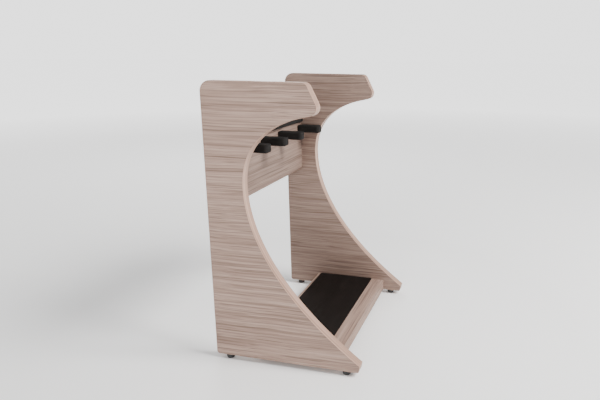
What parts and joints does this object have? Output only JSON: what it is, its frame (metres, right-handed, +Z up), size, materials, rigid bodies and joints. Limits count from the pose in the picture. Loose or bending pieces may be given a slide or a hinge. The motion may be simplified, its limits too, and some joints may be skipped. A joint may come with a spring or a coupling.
{
  "type": "guitar rack",
  "caption": "Free-standing floor rack with curved wooden side panels, a padded base board and foam-covered fingers on a high back board that keep guitar necks apart.",
  "frame": {"origin": "on the floor under the middle of the rack's bounding box", "axes": "+X to the right seen from the front, +Y to the rear, +Z up"},
  "size_m": [0.65, 0.513, 0.95],
  "materials": {
    "panel_laminate": "matt wood-grain laminate",
    "edge_band": "satin wood-grain edge band",
    "board_laminate": "matt wood-grain laminate",
    "core_wood": "plain beech",
    "foam": "matt closed-cell foam",
    "base_pad": "matt textured rubber",
    "foot_plastic": "fine moulded texture",
    "bright_steel": "zinc-plated thread",
    "zinc_steel": "die-cast zinc"
  },
  "bodies": {
    "frame": {"side_panel_left": "panel_laminate", "edge_band_left": "edge_band", "side_panel_right": "panel_laminate", "edge_band_right": "edge_band", "base_board": "board_laminate", "base_band_front": "board_laminate", "base_band_rear": "edge_band", "base_pad": "base_pad", "back_board": "board_laminate", "back_band_top": "edge_band", "back_band_bottom": "edge_band", "neck_bumper": "foam", "finger_foam_1": "foam", "finger_core_1": "core_wood", "finger_screw_1": "zinc_steel", "finger_foam_2": "foam", "finger_core_2": "core_wood", "finger_screw_2": "zinc_steel", "finger_foam_3": "foam", "finger_core_3": "core_wood", "finger_screw_3": "zinc_steel", "finger_foam_4": "foam", "finger_core_4": "core_wood", "finger_screw_4": "zinc_steel", "foot_insert_front_left": "zinc_steel", "foot_insert_rear_left": "zinc_steel", "foot_insert_front_right": "zinc_steel", "foot_insert_rear_right": "zinc_steel", "cam_base_front_left": "zinc_steel", "cam_bolt_base_front_left": "bright_steel", "cam_base_rear_left": "zinc_steel", "cam_bolt_base_rear_left": "bright_steel", "cam_back_lower_left": "zinc_steel", "cam_bolt_back_lower_left": "bright_steel", "cam_back_upper_left": "zinc_steel", "cam_bolt_back_upper_left": "bright_steel", "cam_base_front_right": "zinc_steel", "cam_bolt_base_front_right": "bright_steel", "cam_base_rear_right": "zinc_steel", "cam_bolt_base_rear_right": "bright_steel", "cam_back_lower_right": "zinc_steel", "cam_bolt_back_lower_right": "bright_steel", "cam_back_upper_right": "zinc_steel", "cam_bolt_back_upper_right": "bright_steel", "dowel_base_left": "core_wood", "dowel_back_left": "core_wood", "dowel_base_right": "core_wood", "dowel_back_right": "core_wood"},
    "foot_front_left": {"foot_pad_front_left": "foot_plastic"},
    "stud_front_left": {"foot_stud_front_left": "bright_steel"},
    "foot_rear_left": {"foot_pad_rear_left": "foot_plastic"},
    "stud_rear_left": {"foot_stud_rear_left": "bright_steel"},
    "foot_front_right": {"foot_pad_front_right": "foot_plastic"},
    "stud_front_right": {"foot_stud_front_right": "bright_steel"},
    "foot_rear_right": {"foot_pad_rear_right": "foot_plastic"},
    "stud_rear_right": {"foot_stud_rear_right": "bright_steel"}
  },
  "joints": [
    {"name": "foot_lift_front_left", "type": "slide", "parent": "frame", "child": "foot_front_left", "axis": [0, 0, -1], "range_m": [0, 0.01]},
    {"name": "stud_turn_front_left", "type": "hinge", "parent": "foot_front_left", "child": "stud_front_left", "pos_m": [-0.309, -0.20747, 0.01], "axis": [0, 0, -1], "range_deg": [0, 2881]},
    {"name": "foot_lift_rear_left", "type": "slide", "parent": "frame", "child": "foot_rear_left", "axis": [0, 0, -1], "range_m": [0, 0.01]},
    {"name": "stud_turn_rear_left", "type": "hinge", "parent": "foot_rear_left", "child": "stud_rear_left", "pos_m": [-0.309, 0.21353, 0.01], "axis": [0, 0, -1], "range_deg": [0, 2881]},
    {"name": "foot_lift_front_right", "type": "slide", "parent": "frame", "child": "foot_front_right", "axis": [0, 0, -1], "range_m": [0, 0.01]},
    {"name": "stud_turn_front_right", "type": "hinge", "parent": "foot_front_right", "child": "stud_front_right", "pos_m": [0.309, -0.20747, 0.01], "axis": [0, 0, -1], "range_deg": [0, 2881]},
    {"name": "foot_lift_rear_right", "type": "slide", "parent": "frame", "child": "foot_rear_right", "axis": [0, 0, -1], "range_m": [0, 0.01]},
    {"name": "stud_turn_rear_right", "type": "hinge", "parent": "foot_rear_right", "child": "stud_rear_right", "pos_m": [0.309, 0.21353, 0.01], "axis": [0, 0, -1], "range_deg": [0, 2881]}
  ],
  "couplings": [
    {"joint": "stud_turn_front_left", "follows": "foot_lift_front_left", "rad_per_m": 5026.5},
    {"joint": "stud_turn_rear_left", "follows": "foot_lift_rear_left", "rad_per_m": 5026.5},
    {"joint": "stud_turn_front_right", "follows": "foot_lift_front_right", "rad_per_m": 5026.5},
    {"joint": "stud_turn_rear_right", "follows": "foot_lift_rear_right", "rad_per_m": 5026.5}
  ]
}
